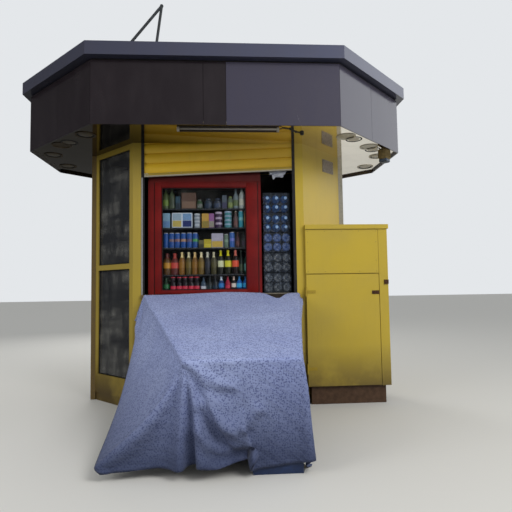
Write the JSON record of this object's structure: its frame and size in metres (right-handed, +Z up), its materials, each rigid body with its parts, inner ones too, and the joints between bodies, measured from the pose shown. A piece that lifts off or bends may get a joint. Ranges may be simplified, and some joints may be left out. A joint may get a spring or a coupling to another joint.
{
  "type": "street kiosk",
  "caption": "Street kiosk with cut corners, wide flat canopy, raised roller shutter, glazed display, side cabinet with hinged door and cloth-covered stand.",
  "frame": {"origin": "on the ground under the middle of the cabin, on the underside of the base frame's middle bar", "axes": "+Z up, the serving front faces -Y, +X to the right seen from the front"},
  "size_m": [3.79, 3.5457, 3.8169],
  "materials": {
    "yellow_paint": "satin gloss paint, faded and dusty",
    "brown_panel": "smooth dark brown composite panel",
    "painted_steel_dark": "matt dark primer",
    "floor_steel": "worn plate",
    "galvanised": "dull galvanised",
    "worn_aluminium": "worn, with paint traces",
    "window_glass": "clear, slightly dusty",
    "soffit_gloss": "glossy panel",
    "light_trim": "satin trim",
    "red_paint": "gloss paint",
    "shelf_board": "satin",
    "shrink_film": "glossy film over bottles",
    "plinth_brown": "matt",
    "rusty_steel": "rusty",
    "lamp_white": "satin",
    "lamp_body": "matt, dusty",
    "weathered_plate": "weathered, blank",
    "stand_board": "painted board",
    "stand_blue": "matt",
    "printed_cloth": "fine speckled print"
  },
  "bodies": {
    "kiosk": {"base_frame": "yellow_paint", "floor_plate": "floor_steel", "front_left_post": "yellow_paint", "front_right_post": "yellow_paint", "corner_posts": "yellow_paint", "uprights": "galvanised", "front_lower_wall": "yellow_paint", "counter": "galvanised", "left_window_frame": "yellow_paint", "left_window_glass": "window_glass", "left_kick_panel": "yellow_paint", "right_front_wall": "yellow_paint", "end_walls": "yellow_paint", "rear_corner_walls": "yellow_paint", "rear_wall": "yellow_paint", "rear_door_frame": "yellow_paint", "rear_door": "yellow_paint", "rear_door_fittings": "worn_aluminium", "soffit_panel": "soffit_gloss", "soffit_lights": "light_trim", "roof_ring": "painted_steel_dark", "roof_deck": "painted_steel_dark", "coping": "brown_panel", "front_fascia": "brown_panel", "left_front_fascia": "brown_panel", "right_front_fascia": "brown_panel", "end_fascias": "brown_panel", "rear_fascias": "brown_panel", "shutter_curtain": "yellow_paint", "shutter_bottom_rail": "worn_aluminium", "shutter_guides": "worn_aluminium", "shutter_coil": "yellow_paint", "coil_barrel": "galvanised", "coil_brackets": "galvanised", "display_frame": "red_paint", "display_glass": "window_glass", "display_sides": "red_paint", "display_top_and_bottom": "red_paint", "display_back": "shelf_board", "display_shelves": "shelf_board", "bottle_packs": "shrink_film", "cabinet_walls": "yellow_paint", "cabinet_upper_panel": "yellow_paint", "cabinet_lid": "yellow_paint", "cabinet_plinth": "plinth_brown", "cabinet_ironwork": "rusty_steel", "tube_light": "lamp_white", "corner_lamp": "lamp_body", "wall_plate": "weathered_plate", "roof_mast": "galvanised", "stand": "stand_board", "stand_feet": "stand_blue", "stand_cloth": "printed_cloth"},
    "cabinet_door": {"cabinet_door": "yellow_paint", "cabinet_door_ironwork": "rusty_steel"}
  },
  "joints": [
    {"name": "cabinet_door_hinge", "type": "hinge", "parent": "kiosk", "child": "cabinet_door", "pos_m": [0.8005, -0.692, 0.7], "axis": [0, 0, 1], "range_deg": [-90, 0]}
  ]
}
